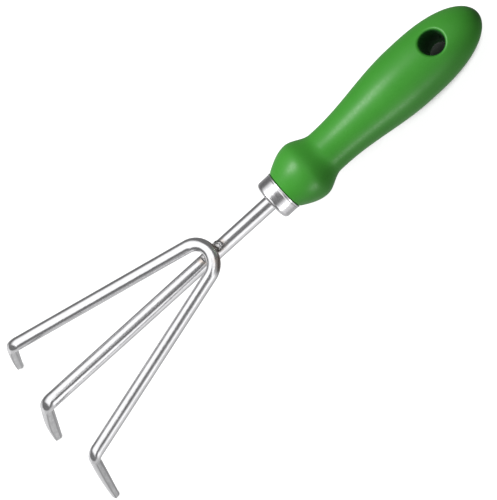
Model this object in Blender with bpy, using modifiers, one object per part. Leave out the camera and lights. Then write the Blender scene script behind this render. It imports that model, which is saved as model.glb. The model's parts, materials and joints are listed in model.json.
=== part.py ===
"""Three-tined hand cultivator: a moulded handle, a steel ferrule and two welded rods.

The tool is laid out along its own axis and then set down on the plane Z = 0 in the pose in
which it lies on a bench: the tips of the outer tines and the underside of the handle touch.

Tool axes, before it is set down: +X from the ferrule's front face towards the tines,
+Z on the side on which the fork rod lies, Y across. The row frame keeps these names, with its
origin under the middle of the tool's box.
"""

import math

import bmesh
import bpy
from mathutils import Matrix, Vector

MM = 0.001

# Driving dimensions. All lengths are in metres.
GAP = 0.3 * MM  # between neighbouring pieces

CENTRE_ROD_RADIUS = 4.2 * MM
CENTRE_BEND_X = 159.4 * MM  # corner of the centre tine's bend
CENTRE_HOOK = Vector((21.9, 0.0, -54.2)) * MM  # from that corner to the tip
HOOK_BEND_RADIUS = 7.5 * MM

FORK_ROD_RADIUS = 3.6 * MM
FORK_CROWN_X = 39.5 * MM  # rod's centre line where the fork crosses the shaft
FORK_BEND_RADIUS = 10.3 * MM
FORK_HALF_ANGLE = math.radians(14.2)
FORK_DROOP = math.radians(4.5)  # the legs run down to the centre tine's level
FORK_LEG_LENGTH = 116.6 * MM  # from the crown to the corner of the hook, along the tool
FORK_HOOK_FORWARD = 20.5 * MM
FORK_HOOK_OUTWARD = 3.8 * MM
FORK_HOOK_DEPTH = 53.2 * MM

# The blade below each bend, pressed thin across the tool: half width and half depth, at its
# root and its tip, and how far its outer edge stands out from a straight one half way down.
CENTRE_ROOT = (3.0 * MM, 3.2 * MM)
CENTRE_TIP = (1.6 * MM, 2.4 * MM)
CENTRE_SWELL = 1.1 * MM
FORK_ROOT = (2.7 * MM, 2.8 * MM)
FORK_TIP = (2.0 * MM, 2.1 * MM)
FORK_SWELL = 0.4 * MM
BLADE_WIDENING = 0.10  # how much wider than a straight taper a blade is half way down
TIP_BLUNTING = 0.82
TIP_BLUNT_LENGTH = 0.8 * MM

WELD_REACH = 4.4 * MM  # from the crown's centre line to the middle of a bead
WELD_HEIGHT = 5.1 * MM
REAR_WELD_SIZE = Vector((3.2, 3.2, 1.9)) * MM
FRONT_WELD_SIZE = Vector((2.2, 2.6, 1.6)) * MM

TANG_REACH = 78.0 * MM  # into the handle, from the ferrule's front face
TANG_WING_HALF_WIDTH = 5.6 * MM
TANG_WING_HALF_THICKNESS = 2.6 * MM
TANG_WING_LENGTH = 12.0 * MM
TANG_WING_RAMP = 3.0 * MM
TANG_WING_FROM_END = 8.0 * MM

FERRULE_LENGTH = 9.2 * MM
FERRULE_RADIUS = 11.2 * MM
FERRULE_WALL = 0.8 * MM
FERRULE_CORNER = 2.0 * MM
FERRULE_LIP = 0.25 * MM  # how far the rear edge stands out
FERRULE_LIP_LENGTH = 1.0 * MM

HANDLE_LENGTH = 131.0 * MM  # behind the ferrule
SEAM_RADIUS = 11.4 * MM
BULB_RADIUS = 16.6 * MM
BULB_PEAK = 14.5 * MM  # distances from the seam
BULB_END = 28.2 * MM
NECK_RADIUS = 12.0 * MM
NECK_END = 31.0 * MM
GRIP_RADIUS = 16.9 * MM
GRIP_PEAK = 85.5 * MM
GRIP_END = 88.5 * MM
END_POWER = 2.45  # how square the rounded end is

HOLE_FROM_SEAM = 104.2 * MM
HOLE_RADIUS = 6.5 * MM
HOLE_ROUNDING = 1.9 * MM
HANDLE_TURN = math.radians(-2.0)  # how the handle sits on the rod: turned about it,
HANDLE_SET = math.radians(0.6)  # and a little out of line with it, seen from above

RING_POINTS = 16  # around a rod
ARC_STEPS = 6  # along a bend
BLADE_STEPS = 4  # down a blade
TURNED_STEPS = 40  # around the handle and the ferrule
HOLE_POINTS = 28

# Squareness of a rod's section: 2 is a circle or an ellipse, and more is flatter sided.
ROUND = 2.0
SQUARED = 5.0


def new_material(name, colour, roughness, metallic):
    material = bpy.data.materials.new(name)
    material.use_nodes = True
    shader = material.node_tree.nodes["Principled BSDF"]
    shader.inputs["Base Color"].default_value = (*colour, 1.0)
    shader.inputs["Roughness"].default_value = roughness
    shader.inputs["Metallic"].default_value = metallic
    return material


def new_object(name, mesh, collection, material=None):
    obj = bpy.data.objects.new(name, mesh)
    collection.objects.link(obj)
    if material:
        mesh.materials.append(material)
    return obj


def make_cutter(obj):
    obj.hide_render = True
    obj.display_type = "WIRE"


def shade(obj):
    obj.data.shade_smooth()
    obj.data.set_sharp_from_angle(angle=math.radians(35))


def cut(obj, cutter, name):
    modifier = obj.modifiers.new(name, "BOOLEAN")
    modifier.operation = "DIFFERENCE"
    modifier.object = cutter


# ---- rods: rings of changing section, lofted along a path with rounded corners ----


def rounded_path(corners, radii):
    """(point, direction) stations along straight runs joined by arcs."""
    stations = [(corners[0], (corners[1] - corners[0]).normalized())]
    for before, corner, after, radius in zip(corners, corners[1:], corners[2:], radii):
        inward = (corner - before).normalized()
        outward = (after - corner).normalized()
        turn = inward.angle(outward)
        axis = inward.cross(outward).normalized()
        start = corner - inward * radius * math.tan(turn / 2)
        centre = start + axis.cross(inward) * radius
        for step in range(ARC_STEPS + 1):
            rotation = Matrix.Rotation(turn * step / ARC_STEPS, 3, axis)
            point = centre + rotation @ (start - centre)
            if (point - stations[-1][0]).length > GAP / 10:
                stations.append((point, rotation @ inward))
    stations.append((corners[-1], (corners[-1] - corners[-2]).normalized()))
    return stations


def swell_at(share, swell):
    """How far a blade's middle is moved out, and its half depth grown, this far down it."""
    return swell / 2 * math.sin(math.pi * share)


def add_blade(stations, ahead, swell):
    """Adds stations down the last straight run, moved out with the blade's swelling edge.

    ahead is the direction of the rod before its bend.
    """
    start, direction = stations[-2]
    end = stations[-1][0]
    outward = (ahead - direction * ahead.dot(direction)).normalized()
    blade = []
    for step in range(1, BLADE_STEPS):
        share = step / BLADE_STEPS
        offset = outward * swell_at(share, swell)
        blade.append((start + (end - start) * share + offset, direction))
    blade.append((end - direction * TIP_BLUNT_LENGTH, direction))
    return stations[:-1] + blade + stations[-1:]


def section_ring(point, direction, up, half_width, half_depth, squareness):
    """One ring: a circle, or a superellipse with nearly flat sides."""
    side = up.cross(direction)
    ring = []
    for step in range(RING_POINTS):
        angle = 2 * math.pi * (step + 0.5) / RING_POINTS
        across = math.copysign(abs(math.cos(angle)) ** (2 / squareness), math.cos(angle))
        along = math.copysign(abs(math.sin(angle)) ** (2 / squareness), math.sin(angle))
        ring.append(point + side * half_width * across + up * half_depth * along)
    return ring


def loft(name, rings, open_start=False):
    """A mesh through the rings, each joined to the next, with flat ends."""
    mesh = bmesh.new()
    loops = [[mesh.verts.new(point) for point in ring] for ring in rings]
    count = len(rings[0])
    for first, second in zip(loops, loops[1:]):
        for i in range(count):
            j = (i + 1) % count
            mesh.faces.new((first[i], first[j], second[j], second[i]))
    mesh.faces.new(loops[-1])
    if not open_start:
        mesh.faces.new(list(reversed(loops[0])))
    bmesh.ops.recalc_face_normals(mesh, faces=mesh.faces)
    data = bpy.data.meshes.new(name)
    mesh.to_mesh(data)
    mesh.free()
    return data


def rings_along(stations, up, sections):
    """Rings whose up vector turns with the path, without twisting about it."""
    rings = []
    previous = stations[0][1]
    for (point, direction), section in zip(stations, sections):
        up = previous.rotation_difference(direction) @ up
        up = (up - direction * up.dot(direction)).normalized()
        rings.append(section_ring(point, direction, up, *section))
        previous = direction
    return rings


def tine_sections(stations, bend_start, radius, root, tip, swell):
    """Round along the rod, then flattened over the bend and tapered to the tip.

    root and tip are (half width, half depth) just past the bend and at the tip.
    """
    start, direction = stations[bend_start + ARC_STEPS]
    blade = [(point - start).dot(direction) for point, _ in stations[bend_start + ARC_STEPS :]]
    sections = [(radius, radius, ROUND)] * bend_start
    for step in range(ARC_STEPS + 1):
        share = step / ARC_STEPS
        sections.append(
            (
                radius + (root[0] - radius) * share,
                radius + (root[1] - radius) * share,
                ROUND + (SQUARED - ROUND) * share,
            )
        )
    for distance in blade[1:]:
        share = distance / blade[-1]
        blunt = TIP_BLUNTING if distance == blade[-1] else 1.0
        width = (root[0] + (tip[0] - root[0]) * share) * blunt
        width *= 1 + BLADE_WIDENING * math.sin(math.pi * share)
        depth = (root[1] + (tip[1] - root[1]) * share) * blunt + swell_at(share, swell)
        sections.append((width, depth, SQUARED))
    return sections


def centre_corners():
    bend = Vector((CENTRE_BEND_X, 0, 0))
    return [Vector((-TANG_REACH, 0, 0)), bend, bend + CENTRE_HOOK]


def tang_stations(grow):
    """(x, half width, half depth, squareness) along the tang, with its pressed wings."""
    wing_start = -TANG_REACH + TANG_WING_FROM_END
    wing_end = wing_start + TANG_WING_LENGTH
    rod = (CENTRE_ROD_RADIUS + grow, CENTRE_ROD_RADIUS + grow, ROUND)
    wing = (TANG_WING_HALF_WIDTH + grow, TANG_WING_HALF_THICKNESS + grow, SQUARED)
    return [
        (-TANG_REACH - grow, *rod),
        (wing_start - TANG_WING_RAMP, *rod),
        (wing_start, *wing),
        (wing_end, *wing),
        (wing_end + TANG_WING_RAMP, *rod),
    ]


def make_centre_rod(collection, material):
    """Shaft, tang and middle tine, all one rod."""
    corners = centre_corners()
    straight = Vector((1, 0, 0))
    stations = rounded_path(corners, [HOOK_BEND_RADIUS])
    stations = add_blade(stations, straight, CENTRE_SWELL)
    tang = tang_stations(0)
    blade = (CENTRE_ROOT, CENTRE_TIP, CENTRE_SWELL)
    sections = tine_sections(stations, 1, CENTRE_ROD_RADIUS, *blade)
    stations = [(Vector((x, 0, 0)), straight) for x, *_ in tang] + stations[1:]
    sections = [section for _, *section in tang] + sections[1:]
    rings = rings_along(stations, Vector((0, 0, 1)), sections)
    rod = new_object("centre_rod", loft("centre_rod", rings), collection, material)
    shade(rod)
    return rod


def fork_half_corners():
    """Crown, corner of the crown's half arc, corner of the hook, and tip, on the +Y side."""
    forward = Vector((math.cos(FORK_DROOP), 0, -math.sin(FORK_DROOP)))
    across = Vector((0, 1, 0))
    crown = Vector((FORK_CROWN_X, 0, CENTRE_ROD_RADIUS + GAP + FORK_ROD_RADIUS))
    half_turn = math.pi / 2 - FORK_HALF_ANGLE
    shoulder = crown + across * FORK_BEND_RADIUS * math.tan(half_turn / 2)
    leg = forward * math.cos(FORK_HALF_ANGLE) + across * math.sin(FORK_HALF_ANGLE)
    bend = shoulder + leg * FORK_LEG_LENGTH / leg.dot(forward)
    ahead = Vector((math.cos(FORK_HALF_ANGLE), math.sin(FORK_HALF_ANGLE), 0))
    outward = Vector((-math.sin(FORK_HALF_ANGLE), math.cos(FORK_HALF_ANGLE), 0))
    drop = Vector((0, 0, -FORK_HOOK_DEPTH))
    tip = bend + ahead * FORK_HOOK_FORWARD + outward * FORK_HOOK_OUTWARD + drop
    return [crown, shoulder, bend, tip]


def fork_up():
    return Vector((math.sin(FORK_DROOP), 0, math.cos(FORK_DROOP)))


def make_fork_rod(collection, material):
    """The outer tines: one thinner rod bent to a U, whose legs end in the outer hooks."""
    corners = fork_half_corners()
    stations = rounded_path(corners, [FORK_BEND_RADIUS, HOOK_BEND_RADIUS])
    stations = add_blade(stations, (corners[2] - corners[1]).normalized(), FORK_SWELL)
    blade = (FORK_ROOT, FORK_TIP, FORK_SWELL)
    sections = tine_sections(stations, ARC_STEPS + 1, FORK_ROD_RADIUS, *blade)
    rings = rings_along(stations, fork_up(), sections)
    rod = new_object("fork_rod", loft("fork_rod", rings, open_start=True), collection, material)
    mirror = rod.modifiers.new("other_leg", "MIRROR")
    mirror.use_axis = (False, True, False)
    mirror.merge_threshold = 0.01 * MM
    shade(rod)
    return rod


# ---- turned pieces: profiles of (radius, place along the tool), turned about the tool's axis ----


def turned(name, profile, collection, material=None, closed=False):
    """The profile turned about its local Z axis, which lies along the tool's X."""
    data = bpy.data.meshes.new(name)
    points = [(radius, 0, place) for radius, place in profile]
    edges = [(i, i + 1) for i in range(len(points) - 1)]
    if closed:
        edges.append((len(points) - 1, 0))
    data.from_pydata(points, edges, [])
    obj = new_object(name, data, collection, material)
    obj.rotation_euler = (0, math.pi / 2, 0)
    screw = obj.modifiers.new("turn", "SCREW")
    screw.steps = TURNED_STEPS
    screw.render_steps = TURNED_STEPS
    screw.use_merge_vertices = True
    screw.merge_threshold = 0.01 * MM
    screw.use_smooth_shade = True
    return obj


def arc_points(centre_radius, centre_place, size, start, end, steps):
    """Points of a quarter round or other arc in a profile; angles in degrees from +radius."""
    points = []
    for step in range(steps + 1):
        angle = math.radians(start + (end - start) * step / steps)
        radius = centre_radius + size * math.cos(angle)
        points.append((radius, centre_place + size * math.sin(angle)))
    return points


def make_ferrule(collection, material):
    """A drawn cap over the handle's spigot, with a hole for the rod and a rolled rear lip."""
    hole = CENTRE_ROD_RADIUS + GAP
    inner = FERRULE_RADIUS - FERRULE_WALL
    inner_corner = FERRULE_CORNER - FERRULE_WALL
    rear = -FERRULE_LENGTH
    flat_front = FERRULE_RADIUS - FERRULE_CORNER
    profile = [(hole, 0.0)]
    profile += arc_points(flat_front, -FERRULE_CORNER, FERRULE_CORNER, 90, 0, 5)
    profile += [
        (FERRULE_RADIUS, rear + FERRULE_LIP_LENGTH),
        (FERRULE_RADIUS + FERRULE_LIP, rear + FERRULE_LIP_LENGTH / 2),
        (FERRULE_RADIUS + FERRULE_LIP, rear),
        (inner, rear),
    ]
    profile += arc_points(inner - inner_corner, -FERRULE_CORNER, inner_corner, 0, 90, 3)
    profile.append((hole, -FERRULE_WALL))
    return turned("ferrule", profile, collection, material, closed=True)


def handle_radius(place):
    """Outer radius of the handle at this distance behind the seam."""
    if place <= BULB_PEAK:
        rise = math.sin(math.pi / 2 * place / BULB_PEAK)
        return SEAM_RADIUS + (BULB_RADIUS - SEAM_RADIUS) * rise
    if place <= BULB_END:
        fall = 0.5 + 0.5 * math.cos(math.pi * (place - BULB_PEAK) / (BULB_END - BULB_PEAK))
        return NECK_RADIUS + (BULB_RADIUS - NECK_RADIUS) * fall
    if place <= NECK_END:
        return NECK_RADIUS
    if place <= GRIP_PEAK:
        rise = 0.5 - 0.5 * math.cos(math.pi * (place - NECK_END) / (GRIP_PEAK - NECK_END))
        return NECK_RADIUS + (GRIP_RADIUS - NECK_RADIUS) * rise
    if place <= GRIP_END:
        return GRIP_RADIUS
    share = min((place - GRIP_END) / (HANDLE_LENGTH - GRIP_END), 1.0)
    return GRIP_RADIUS * math.sqrt(1 - share**END_POWER)


def handle_places():
    """Distances behind the seam at which the handle's profile has a point."""
    places = [BULB_PEAK * step / 6 for step in range(7)]
    places += [BULB_PEAK + (BULB_END - BULB_PEAK) * step / 6 for step in range(1, 7)]
    places += [NECK_END + (GRIP_PEAK - NECK_END) * step / 9 for step in range(10)]
    for step in range(11):
        share = math.sin(math.pi / 2 * step / 11)
        places.append(GRIP_END + (HANDLE_LENGTH - GRIP_END) * share)
    places.append(HANDLE_LENGTH)
    return places


def handle_axis_point(place):
    """Place along the tool's X axis of a distance behind the seam."""
    return -FERRULE_LENGTH - GAP - place


def make_hole_cutter(collection):
    """A round drill across the handle whose two mouths round over onto the handle's skin."""
    middle = handle_axis_point(HOLE_FROM_SEAM)
    above = GRIP_RADIUS + 2 * HOLE_ROUNDING
    mouth_steps = 5
    mouth_angle = math.radians(80)  # short of 90, so that the cut leaves the skin cleanly
    levels = []
    for step in range(mouth_steps + 1):
        angle = mouth_angle * (1 - step / mouth_steps)
        spread = HOLE_RADIUS + HOLE_ROUNDING * (1 - math.cos(angle))
        levels.append((spread, HOLE_ROUNDING * (1 - math.sin(angle))))
    directions = [2 * math.pi * step / HOLE_POINTS for step in range(HOLE_POINTS)]

    def ring(spread, depth, side, flat_height=None):
        points = []
        for direction in directions:
            along = spread * math.cos(direction)
            across = spread * math.sin(direction)
            skin = handle_radius(HOLE_FROM_SEAM - along)
            height = math.sqrt(skin**2 - across**2) - depth
            if flat_height is not None:
                height = flat_height
            points.append(Vector((middle + along, across, side * height)))
        return points

    widest = levels[0][0] + HOLE_ROUNDING / 4
    rings = [ring(widest, 0, 1, above)]
    rings += [ring(spread, depth, 1) for spread, depth in levels]
    rings += [ring(spread, depth, -1) for spread, depth in reversed(levels)]
    rings.append(ring(widest, 0, -1, above))
    cutter = new_object("hole_cutter", loft("hole_cutter", rings), collection)
    make_cutter(cutter)
    return cutter


def make_tang_cutter(collection):
    """The room that the moulding leaves round the tang."""
    stations = [(Vector((x, 0, 0)), Vector((1, 0, 0))) for x, *_ in tang_stations(GAP)]
    sections = [section for _, *section in tang_stations(GAP)]
    stations.append((Vector((GAP, 0, 0)), Vector((1, 0, 0))))
    sections.append(sections[-1])
    rings = rings_along(stations, Vector((0, 0, 1)), sections)
    cutter = new_object("tang_cutter", loft("tang_cutter", rings), collection)
    make_cutter(cutter)
    return cutter


def make_handle(collection, cutters, material):
    spigot = FERRULE_RADIUS - FERRULE_WALL - GAP
    spigot_front = -FERRULE_WALL - GAP
    chamfer = FERRULE_CORNER - FERRULE_WALL
    shoulder = handle_axis_point(0)
    profile = [
        (0.0, spigot_front),
        (spigot - chamfer, spigot_front),
        (spigot, spigot_front - chamfer),
        (spigot, shoulder),
    ]
    profile += [(handle_radius(place), handle_axis_point(place)) for place in handle_places()]
    profile[-1] = (0.0, handle_axis_point(HANDLE_LENGTH))
    handle = turned("handle", profile, collection, material)
    for cutter in cutters:
        cut(handle, cutter, cutter.name)
    return handle


# ---- welds ----


def make_weld(name, place, size, clearances, collection, material):
    """A small bead in the groove between the crossing rods, cut back from both."""
    mesh = bmesh.new()
    bmesh.ops.create_uvsphere(mesh, u_segments=16, v_segments=10, radius=1.0)
    bmesh.ops.scale(mesh, vec=size, verts=mesh.verts)
    data = bpy.data.meshes.new(name)
    mesh.to_mesh(data)
    mesh.free()
    weld = new_object(name, data, collection, material)
    weld.location = place
    for clearance in clearances:
        cut(weld, clearance, clearance.name)
    shade(weld)
    return weld


def make_weld_clearances(collection):
    """Tubes one gap wider than the shaft and than the fork's crown."""
    grown = CENTRE_ROD_RADIUS + GAP
    shaft = [(Vector((x, 0, 0)), Vector((1, 0, 0))) for x in (0, CENTRE_BEND_X / 2)]
    rings = rings_along(shaft, Vector((0, 0, 1)), [(grown, grown, ROUND)] * 2)
    shaft_clearance = new_object("shaft_clearance", loft("shaft_clearance", rings), collection)
    make_cutter(shaft_clearance)

    grown = FORK_ROD_RADIUS + GAP
    crown = rounded_path(fork_half_corners()[:3], [FORK_BEND_RADIUS])
    rings = rings_along(crown, fork_up(), [(grown, grown, ROUND)] * len(crown))
    data = loft("crown_clearance", rings, open_start=True)
    crown_clearance = new_object("crown_clearance", data, collection)
    mirror = crown_clearance.modifiers.new("other_leg", "MIRROR")
    mirror.use_axis = (False, True, False)
    mirror.merge_threshold = 0.01 * MM
    make_cutter(crown_clearance)
    return [shaft_clearance, crown_clearance]


def make_welds(collection, cutters, material):
    clearances = make_weld_clearances(cutters)
    rear = Vector((FORK_CROWN_X - WELD_REACH, 0, WELD_HEIGHT))
    front = Vector((FORK_CROWN_X + WELD_REACH, 0, WELD_HEIGHT))
    return [
        make_weld("rear_weld", rear, REAR_WELD_SIZE, clearances, collection, material),
        make_weld("front_weld", front, FRONT_WELD_SIZE, clearances, collection, material),
    ]


# ---- setting the tool down ----


def world_points(objects):
    bpy.context.view_layer.update()
    graph = bpy.context.evaluated_depsgraph_get()
    points = []
    for obj in objects:
        evaluated = obj.evaluated_get(graph)
        mesh = evaluated.to_mesh()
        points += [evaluated.matrix_world @ vertex.co for vertex in mesh.vertices]
        evaluated.to_mesh_clear()
    return points


def resting_tilt(handle, tines):
    """Turn about Y that brings the handle's and the tines' lowest points to one level."""
    handle_points = world_points([handle])
    tine_points = world_points(tines)
    low, high = 0.0, math.radians(20)
    for _ in range(40):
        tilt = (low + high) / 2
        turn = Matrix.Rotation(-tilt, 3, "Y")
        handle_level = min((turn @ point).z for point in handle_points)
        tine_level = min((turn @ point).z for point in tine_points)
        if tine_level < handle_level:
            low = tilt
        else:
            high = tilt
    return -tilt


def set_down(tool, pieces, handle, tines):
    tool.rotation_euler = (0, resting_tilt(handle, tines), 0)
    points = world_points(pieces)
    lowest = [min(point[axis] for point in points) for axis in range(3)]
    highest = [max(point[axis] for point in points) for axis in range(3)]
    middle_x = (lowest[0] + highest[0]) / 2
    middle_y = (lowest[1] + highest[1]) / 2
    tool.location = (-middle_x, -middle_y, -lowest[2])


def main():
    for obj in list(bpy.data.objects):
        bpy.data.objects.remove(obj)
    scene = bpy.context.scene
    collection = bpy.data.collections.new("hand_cultivator")
    cutters = bpy.data.collections.new("cutters")
    scene.collection.children.link(collection)
    scene.collection.children.link(cutters)

    green = new_material("handle_plastic", (0.055, 0.33, 0.035), 0.38, 0.0)
    bright = new_material("ferrule_steel", (0.72, 0.72, 0.71), 0.16, 1.0)
    polished = new_material("rod_steel", (0.68, 0.68, 0.67), 0.18, 1.0)
    fork_steel = new_material("fork_steel", (0.68, 0.68, 0.67), 0.18, 1.0)
    weld_steel = new_material("weld_steel", (0.42, 0.40, 0.38), 0.35, 1.0)

    tool = bpy.data.objects.new("tool_axis", None)
    handle_axis = bpy.data.objects.new("handle_axis", None)
    collection.objects.link(tool)
    collection.objects.link(handle_axis)
    handle_axis.parent = tool
    handle_axis.rotation_euler = (HANDLE_TURN, 0, HANDLE_SET)
    hole_cutter = make_hole_cutter(cutters)
    handle = make_handle(collection, [make_tang_cutter(cutters), hole_cutter], green)
    ferrule = make_ferrule(collection, bright)
    centre_rod = make_centre_rod(collection, polished)
    fork_rod = make_fork_rod(collection, fork_steel)
    welds = make_welds(collection, cutters, weld_steel)
    pieces = [handle, ferrule, centre_rod, fork_rod, *welds]
    for obj in pieces + list(cutters.objects):
        obj.parent = tool
    for obj in (handle, ferrule, hole_cutter):
        obj.parent = handle_axis
    set_down(tool, pieces, handle, [centre_rod, fork_rod])


main()
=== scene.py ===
"""Looks of a three-tined hand cultivator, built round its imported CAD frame.

Every piece is modelled again, more finely, from the tool's own driving dimensions. The pieces
are laid out along the tool's axis, as in the CAD source, and then set down in the row frame.
Tool axes: +X from the ferrule's front face towards the tines, +Z the side of the fork rod.
"""

import json
import math

import bmesh
import bpy
from mathutils import Euler, Matrix, Vector, noise


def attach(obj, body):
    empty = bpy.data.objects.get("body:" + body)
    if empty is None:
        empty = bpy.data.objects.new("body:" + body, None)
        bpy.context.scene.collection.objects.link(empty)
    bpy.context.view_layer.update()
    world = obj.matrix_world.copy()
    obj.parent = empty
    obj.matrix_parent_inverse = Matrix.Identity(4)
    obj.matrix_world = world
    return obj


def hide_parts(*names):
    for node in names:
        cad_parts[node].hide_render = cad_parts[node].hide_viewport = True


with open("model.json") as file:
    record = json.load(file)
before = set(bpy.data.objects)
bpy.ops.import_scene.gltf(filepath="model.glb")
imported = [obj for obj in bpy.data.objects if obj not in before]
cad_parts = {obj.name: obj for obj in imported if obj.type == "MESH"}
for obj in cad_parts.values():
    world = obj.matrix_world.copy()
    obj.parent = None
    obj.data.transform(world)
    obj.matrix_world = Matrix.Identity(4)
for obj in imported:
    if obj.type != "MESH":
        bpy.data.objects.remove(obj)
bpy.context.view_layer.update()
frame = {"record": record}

MM = 0.001

# ---- driving dimensions, as in the CAD source; lengths in metres ----

GAP = 0.3 * MM

CENTRE_ROD_RADIUS = 4.2 * MM
CENTRE_BEND_X = 159.4 * MM
CENTRE_HOOK = Vector((21.9, 0.0, -54.2)) * MM
HOOK_BEND_RADIUS = 7.5 * MM

FORK_ROD_RADIUS = 3.6 * MM
FORK_CROWN_X = 39.5 * MM
FORK_BEND_RADIUS = 10.3 * MM
FORK_HALF_ANGLE = math.radians(14.2)
FORK_DROOP = math.radians(4.5)
FORK_LEG_LENGTH = 116.6 * MM
FORK_HOOK_FORWARD = 20.5 * MM
FORK_HOOK_OUTWARD = 3.8 * MM
FORK_HOOK_DEPTH = 53.2 * MM

# Ground blades: half width and half depth at the root and at the tip, and the outer swell.
CENTRE_ROOT = (3.0 * MM, 3.2 * MM)
CENTRE_TIP = (1.6 * MM, 2.4 * MM)
CENTRE_SWELL = 1.1 * MM
FORK_ROOT = (2.7 * MM, 2.8 * MM)
FORK_TIP = (2.0 * MM, 2.1 * MM)
FORK_SWELL = 0.4 * MM
BLADE_WIDENING = 0.10
FACE_GRINDING = 0.75  # how satin the blades' outer and inner faces are, against the flanks
FACE_FLATNESS = 1.6  # radius of a blade's outer face, as a multiple of its half width
REAR_ROUNDING = 0.8  # how much rounder a blade's inner face is
TIP_ROUNDING = 1.3 * MM  # how far back from its end a blade's tip is rounded
TIP_SIZE = 0.66  # a tip's end face, as a share of the blade's section

WELD_REACH = 4.4 * MM
WELD_HEIGHT = 5.1 * MM
REAR_WELD_SIZE = Vector((3.2, 3.2, 1.9)) * MM
FRONT_WELD_SIZE = Vector((2.2, 2.6, 1.6)) * MM

TANG_REACH = 78.0 * MM
TANG_WING = (5.6 * MM, 2.6 * MM)
TANG_WING_LENGTH = 12.0 * MM
TANG_WING_RAMP = 3.0 * MM
TANG_WING_FROM_END = 8.0 * MM

FERRULE_LENGTH = 9.2 * MM
FERRULE_RADIUS = 11.2 * MM
FERRULE_WALL = 0.8 * MM
FERRULE_CORNER = 2.0 * MM
FERRULE_LIP = 0.25 * MM
FERRULE_LIP_LENGTH = 1.0 * MM
FERRULE_HOLE_ROUNDING = 0.35 * MM

HANDLE_LENGTH = 131.0 * MM
SEAM_RADIUS = 11.4 * MM
BULB_RADIUS = 16.6 * MM
BULB_PEAK = 14.5 * MM
BULB_END = 28.2 * MM
NECK_RADIUS = 12.0 * MM
NECK_END = 31.0 * MM
GRIP_RADIUS = 16.9 * MM
GRIP_PEAK = 85.5 * MM
GRIP_END = 88.5 * MM
END_POWER = 2.45
HOLE_FROM_SEAM = 104.2 * MM
HOLE_RADIUS = 6.5 * MM
HOLE_ROUNDING = 1.9 * MM
HOLE_MOUTH_ANGLE = math.radians(84)  # how far the mouth's rounding turns towards the skin
SEAM_ROUNDING = 0.5 * MM
HANDLE_TURN = math.radians(-2.0)
HANDLE_SET = math.radians(0.6)

# ---- how finely the pieces are made ----

ARC_STEPS = 28
BLADE_STEPS = 30
STRAIGHT_STEPS = 40
TIP_SHARES = (0.25, 0.45, 0.6, 0.75, 0.87, 0.95)  # extra sections in a blade's last step
FACE_POINTS = 4
EDGE_POINTS = 3
ROUND_POINTS = 26
TURNED_STEPS = 192
GRIP_STEPS = 96
END_STEPS = 64
HOLE_POINTS = 128
MOUTH_STEPS = 14
TANG_POINTS = 48

# ---- the rods' steel ----

ROD_COLOUR = (0.84, 0.837, 0.845)
ROD_POLISH = 0.13  # roughness of the polished bar
ROD_GRIND = 0.42  # roughness of the blades' ground flanks
ROD_SCORCH = 0.55  # strength of the heat tint by the welds
SHAFT_HEAT_REACH = 5 * MM
CROWN_HEAT_REACH = 7.5 * MM

# ---- the view ----

CAMERA_PLACE = Vector((-0.25603, 0.30152, 0.89331))
CAMERA_TARGET = Vector((0.00117, 0.00947, 0.0300))
CAMERA_ROLL = math.radians(-83.28)
CAMERA_LENS = 133.27

# ---- the studio; each softbox is (name, direction from the tool, size in metres, watts) ----

SOFTBOXES = (
    ("key_softbox", (0.20, -0.36, 0.91), (0.62, 0.50), 20.0),
    ("bulb_softbox", (0.47, -0.385, 0.80), (0.26, 0.26), 4.6),
    ("side_softbox", (0.18, 0.97, 0.11), (0.66, 0.36), 6.5),
)
SOFTBOX_DISTANCE = 1.5
FILL_ABOVE = 0.38
FILL_BELOW = 0.14
TENT_RADIANCE = 1.20  # of the tent's cloth, on top of the card's
CARD_RADIANCE = 0.14
LEAST_RADIANCE = 0.19
FLOOR_RADIUS = 14.0
FLOOR_DROP = 0.02 * MM
CONTACT_REACH = 35 * MM  # how near a surface darkens the floor


def clamp01(value):
    return min(max(value, 0.0), 1.0)


def ease(value):
    value = clamp01(value)
    return value * value * (3 - 2 * value)


# ---- node helpers ----


def link(tree, source, target):
    tree.links.new(source, target)


def put(tree, socket, value):
    """Sets a socket to a number or a colour, or links another socket to it."""
    if isinstance(value, bpy.types.NodeSocket):
        link(tree, value, socket)
    else:
        socket.default_value = value


def math_node(tree, operation, *values):
    node = tree.nodes.new("ShaderNodeMath")
    node.operation = operation
    for socket, value in zip(node.inputs, values):
        put(tree, socket, value)
    return node.outputs[0]


def times(tree, first, second):
    return math_node(tree, "MULTIPLY", first, second)


def plus(tree, first, second):
    return math_node(tree, "ADD", first, second)


def step_node(tree, value, start, end, low=0.0, high=1.0):
    """A smooth step from low at start to high at end."""
    node = tree.nodes.new("ShaderNodeMapRange")
    node.interpolation_type = "SMOOTHSTEP"
    put(tree, node.inputs["Value"], value)
    # A smooth step only rises, so a falling one swaps its ends.
    if start > end:
        start, end, low, high = end, start, high, low
    node.inputs["From Min"].default_value = start
    node.inputs["From Max"].default_value = end
    node.inputs["To Min"].default_value = low
    node.inputs["To Max"].default_value = high
    return node.outputs["Result"]


def mix_node(tree, factor, first, second):
    node = tree.nodes.new("ShaderNodeMix")
    node.data_type = "RGBA"
    put(tree, node.inputs["Factor"], factor)
    put(tree, node.inputs[6], first)
    put(tree, node.inputs[7], second)
    return node.outputs[2]


def noise_node(tree, vector, scale, detail=3.0, roughness=0.5):
    node = tree.nodes.new("ShaderNodeTexNoise")
    link(tree, vector, node.inputs["Vector"])
    node.inputs["Scale"].default_value = scale
    node.inputs["Detail"].default_value = detail
    node.inputs["Roughness"].default_value = roughness
    return node.outputs["Fac"]


def stretched(tree, vector, factors):
    node = tree.nodes.new("ShaderNodeMapping")
    node.vector_type = "POINT"
    link(tree, vector, node.inputs["Vector"])
    node.inputs["Scale"].default_value = factors
    return node.outputs["Vector"]


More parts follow.
